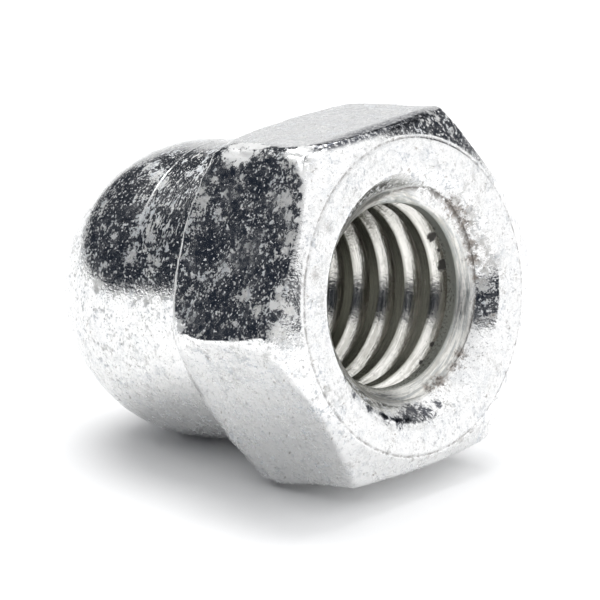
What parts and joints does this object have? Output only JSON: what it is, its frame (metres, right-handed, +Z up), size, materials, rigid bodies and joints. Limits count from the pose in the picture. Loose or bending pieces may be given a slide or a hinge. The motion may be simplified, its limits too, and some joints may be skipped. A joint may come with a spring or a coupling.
{
  "type": "cap nut",
  "caption": "Domed hexagon cap nut with a countersunk blind M5 tapped hole, lying on its dome and one flat.",
  "frame": {"origin": "centre of the bearing face, on the thread's axis", "axes": "+Z up. The nut lies as it comes to rest, on its dome and the rear edge of the flat that faces down, so its mouth looks towards +X and 9.6 degrees up. Y runs across two corners of the hexagon."},
  "size_m": [0.0102, 0.009, 0.0083],
  "materials": {
    "plated_steel": "bright plating worn to a fine speckle, with grey mottling, dull corners and a little rust in the countersink"
  },
  "bodies": {
    "root": {"cap_nut": "plated_steel"}
  },
  "joints": []
}
